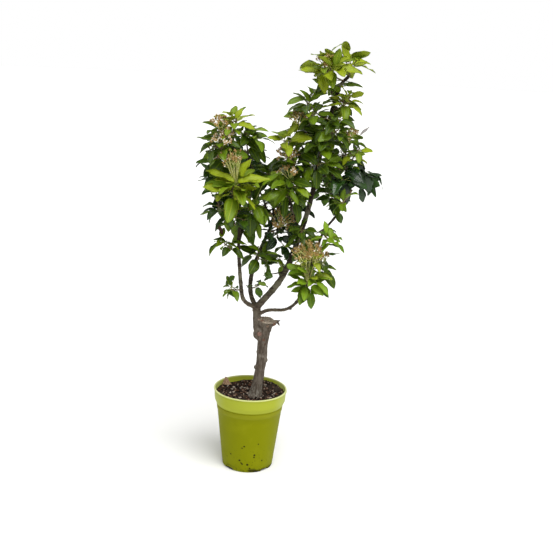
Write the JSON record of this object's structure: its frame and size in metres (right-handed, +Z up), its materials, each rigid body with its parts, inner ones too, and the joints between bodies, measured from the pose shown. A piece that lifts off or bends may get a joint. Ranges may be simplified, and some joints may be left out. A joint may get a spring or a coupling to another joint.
{
  "type": "potted dwarf pear tree",
  "caption": "Young dwarf pear tree with a sawn-back stem, upright boughs, leafy shoots and dried flower stalks, growing in a deep tapered plastic nursery pot of soil.",
  "frame": {"origin": "centre of the pot's flat underside, at ground level", "axes": "+Z up, +X to the right and -Y to the front as pictured; the boughs lean to +X, and the longest bough ends at the top right"},
  "size_m": [0.5159, 0.3745, 1.2143],
  "materials": {
    "lime_plastic": "satin lime-green moulded plastic, weathered, with soil specks low down",
    "potting_soil": "dark crumbly potting soil with bark chips",
    "bark": "grey-brown ridged bark, with a weathered saw cut",
    "bough_bark": "brown young bark with pale pores",
    "young_leaves": "glossy yellow-green young leaves",
    "mid_leaves": "glossy mid-green leaves",
    "dark_leaves": "glossy dark green leaves",
    "deep_leaves": "glossy blackish green leaves"
  },
  "bodies": {
    "root": {"pot": "lime_plastic", "soil": "potting_soil", "trunk": "bark", "left_bough": "bough_bark", "middle_bough": "bough_bark", "main_bough": "bough_bark", "low_right_bough": "bough_bark", "far_right_bough": "bough_bark", "left_inner_bough": "bough_bark", "centre_bough": "bough_bark", "upper_left_bough": "bough_bark", "right_side_bough": "bough_bark", "rear_right_bough": "bough_bark", "rear_left_bough": "bough_bark", "left_top": "young_leaves", "left_top_outer": "mid_leaves", "left_upper_right": "mid_leaves", "left_upper_outer": "mid_leaves", "left_shade_top": "deep_leaves", "left_mid_outer": "dark_leaves", "left_bright": "young_leaves", "left_shade": "deep_leaves", "left_inner_dark": "deep_leaves", "left_low_outer": "dark_leaves", "left_hanging": "mid_leaves", "left_lower": "mid_leaves", "left_lowest": "mid_leaves", "inner_rosette": "mid_leaves", "left_base": "mid_leaves", "middle_base": "dark_leaves", "rear_left_low": "dark_leaves", "centre_arc": "mid_leaves", "centre_mid": "mid_leaves", "centre_flower": "mid_leaves", "centre_yellow": "young_leaves", "centre_upper": "mid_leaves", "centre_dark": "deep_leaves", "centre_low": "deep_leaves", "centre_right_low": "mid_leaves", "centre_lowest": "mid_leaves", "top": "young_leaves", "top_left": "young_leaves", "upper_inner": "mid_leaves", "upper_left": "mid_leaves", "upper_right": "young_leaves", "right_upper": "mid_leaves", "right_left": "mid_leaves", "right_mid": "mid_leaves", "rear_upper": "mid_leaves", "rear_mid": "dark_leaves", "right_outer": "mid_leaves", "right_bright": "young_leaves", "right_dark": "deep_leaves", "right_dark_outer": "deep_leaves", "right_low_inner": "dark_leaves", "right_low": "mid_leaves", "low_bright": "young_leaves", "low_bright_right": "mid_leaves", "low_truss": "young_leaves", "low_upper": "young_leaves"}
  },
  "joints": []
}
